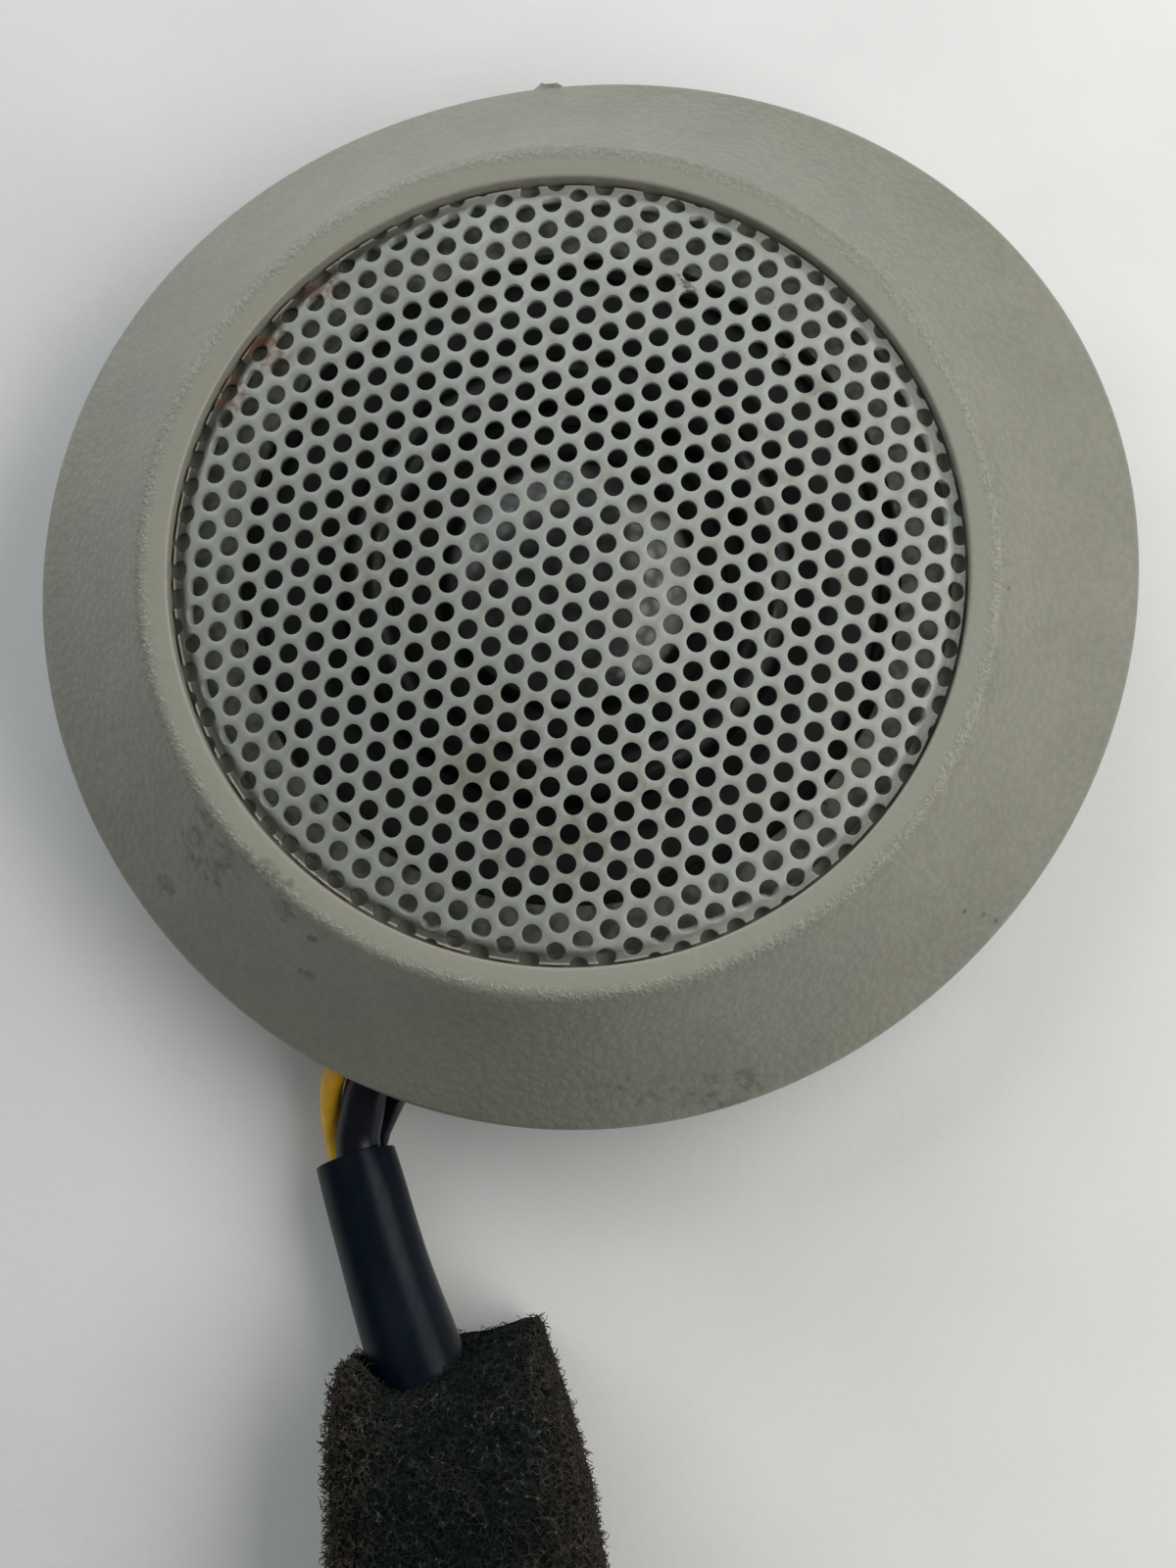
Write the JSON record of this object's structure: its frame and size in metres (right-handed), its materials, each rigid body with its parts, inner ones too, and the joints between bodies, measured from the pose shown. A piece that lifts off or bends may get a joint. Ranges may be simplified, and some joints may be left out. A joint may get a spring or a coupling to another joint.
{
  "type": "trim-mounted loudspeaker",
  "caption": "Round loudspeaker in a sloping grained trim bezel with an egg-shaped outline, behind a domed perforated steel grille, with a sleeved wiring pigtail to a foam-wrapped connector",
  "frame": {"origin": "centre of the yoke's back face, on the loudspeaker's axis", "axes": "+Z along the axis out through the grille, -Y towards the pigtail, +X to the right seen from the front"},
  "size_m": [0.1191, 0.183, 0.0308],
  "materials": {
    "bezel_plastic": "fine pebble grain, warm grey",
    "grille_paint": "light cool grey paint on punched steel",
    "gasket_foam": "closed-cell foam",
    "basket_plastic": "moulded black",
    "surround_rubber": "glossy black",
    "cone_paper": "black pressed paper",
    "cap_paper": "black coated paper",
    "former_paper": "kraft paper",
    "copper": "enamelled copper wire",
    "spider_cloth": "resin-dipped cloth",
    "zinc_steel": "zinc plated",
    "ferrite": "ground dark grey",
    "board_phenolic": "brown laminate",
    "tinned_brass": "tinned",
    "tinsel": "braided copper",
    "screw_steel": "zinc plated",
    "yellow_vinyl": "soft vinyl, yellow",
    "wide_black_vinyl": "soft vinyl, black",
    "thin_black_vinyl": "soft vinyl, black",
    "sleeve_vinyl": "soft vinyl, glossy black",
    "foam": "open-cell foam, dark grey-brown",
    "connector_plastic": "natural nylon",
    "contact_brass": "plain"
  },
  "bodies": {
    "housing": {"trim_bezel": "bezel_plastic", "grille": "grille_paint", "gasket": "gasket_foam", "basket": "basket_plastic", "surround": "surround_rubber", "spider": "spider_cloth", "top_plate": "zinc_steel", "magnet": "ferrite", "yoke": "zinc_steel", "terminal_board": "board_phenolic", "terminal_rivet_1": "tinned_brass", "terminal_rivet_2": "tinned_brass", "terminal_tab_1": "tinned_brass", "terminal_tab_2": "tinned_brass", "terminal_tab_3": "tinned_brass", "tinsel_lead_left": "tinsel", "tinsel_lead_right": "tinsel", "driver_screw_1": "screw_steel", "driver_screw_2": "screw_steel", "driver_screw_3": "screw_steel", "driver_screw_4": "screw_steel", "lead_yellow": "yellow_vinyl", "lead_black_wide": "wide_black_vinyl", "lead_black_thin": "thin_black_vinyl", "sleeve": "sleeve_vinyl", "foam_wrap": "foam", "connector_housing": "connector_plastic", "connector_contact_1": "contact_brass", "connector_contact_2": "contact_brass", "connector_contact_3": "contact_brass"},
    "diaphragm": {"cone": "cone_paper", "dust_cap": "cap_paper", "coil_former": "former_paper", "coil_winding": "copper"}
  },
  "joints": [
    {"name": "cone_travel", "type": "slide", "parent": "housing", "child": "diaphragm", "axis": [0, 0, 1], "range_m": [-0.001, 0.001], "stiffness_N_per_m": 2000, "deforming": ["surround", "spider", "tinsel_lead_left", "tinsel_lead_right"]}
  ]
}
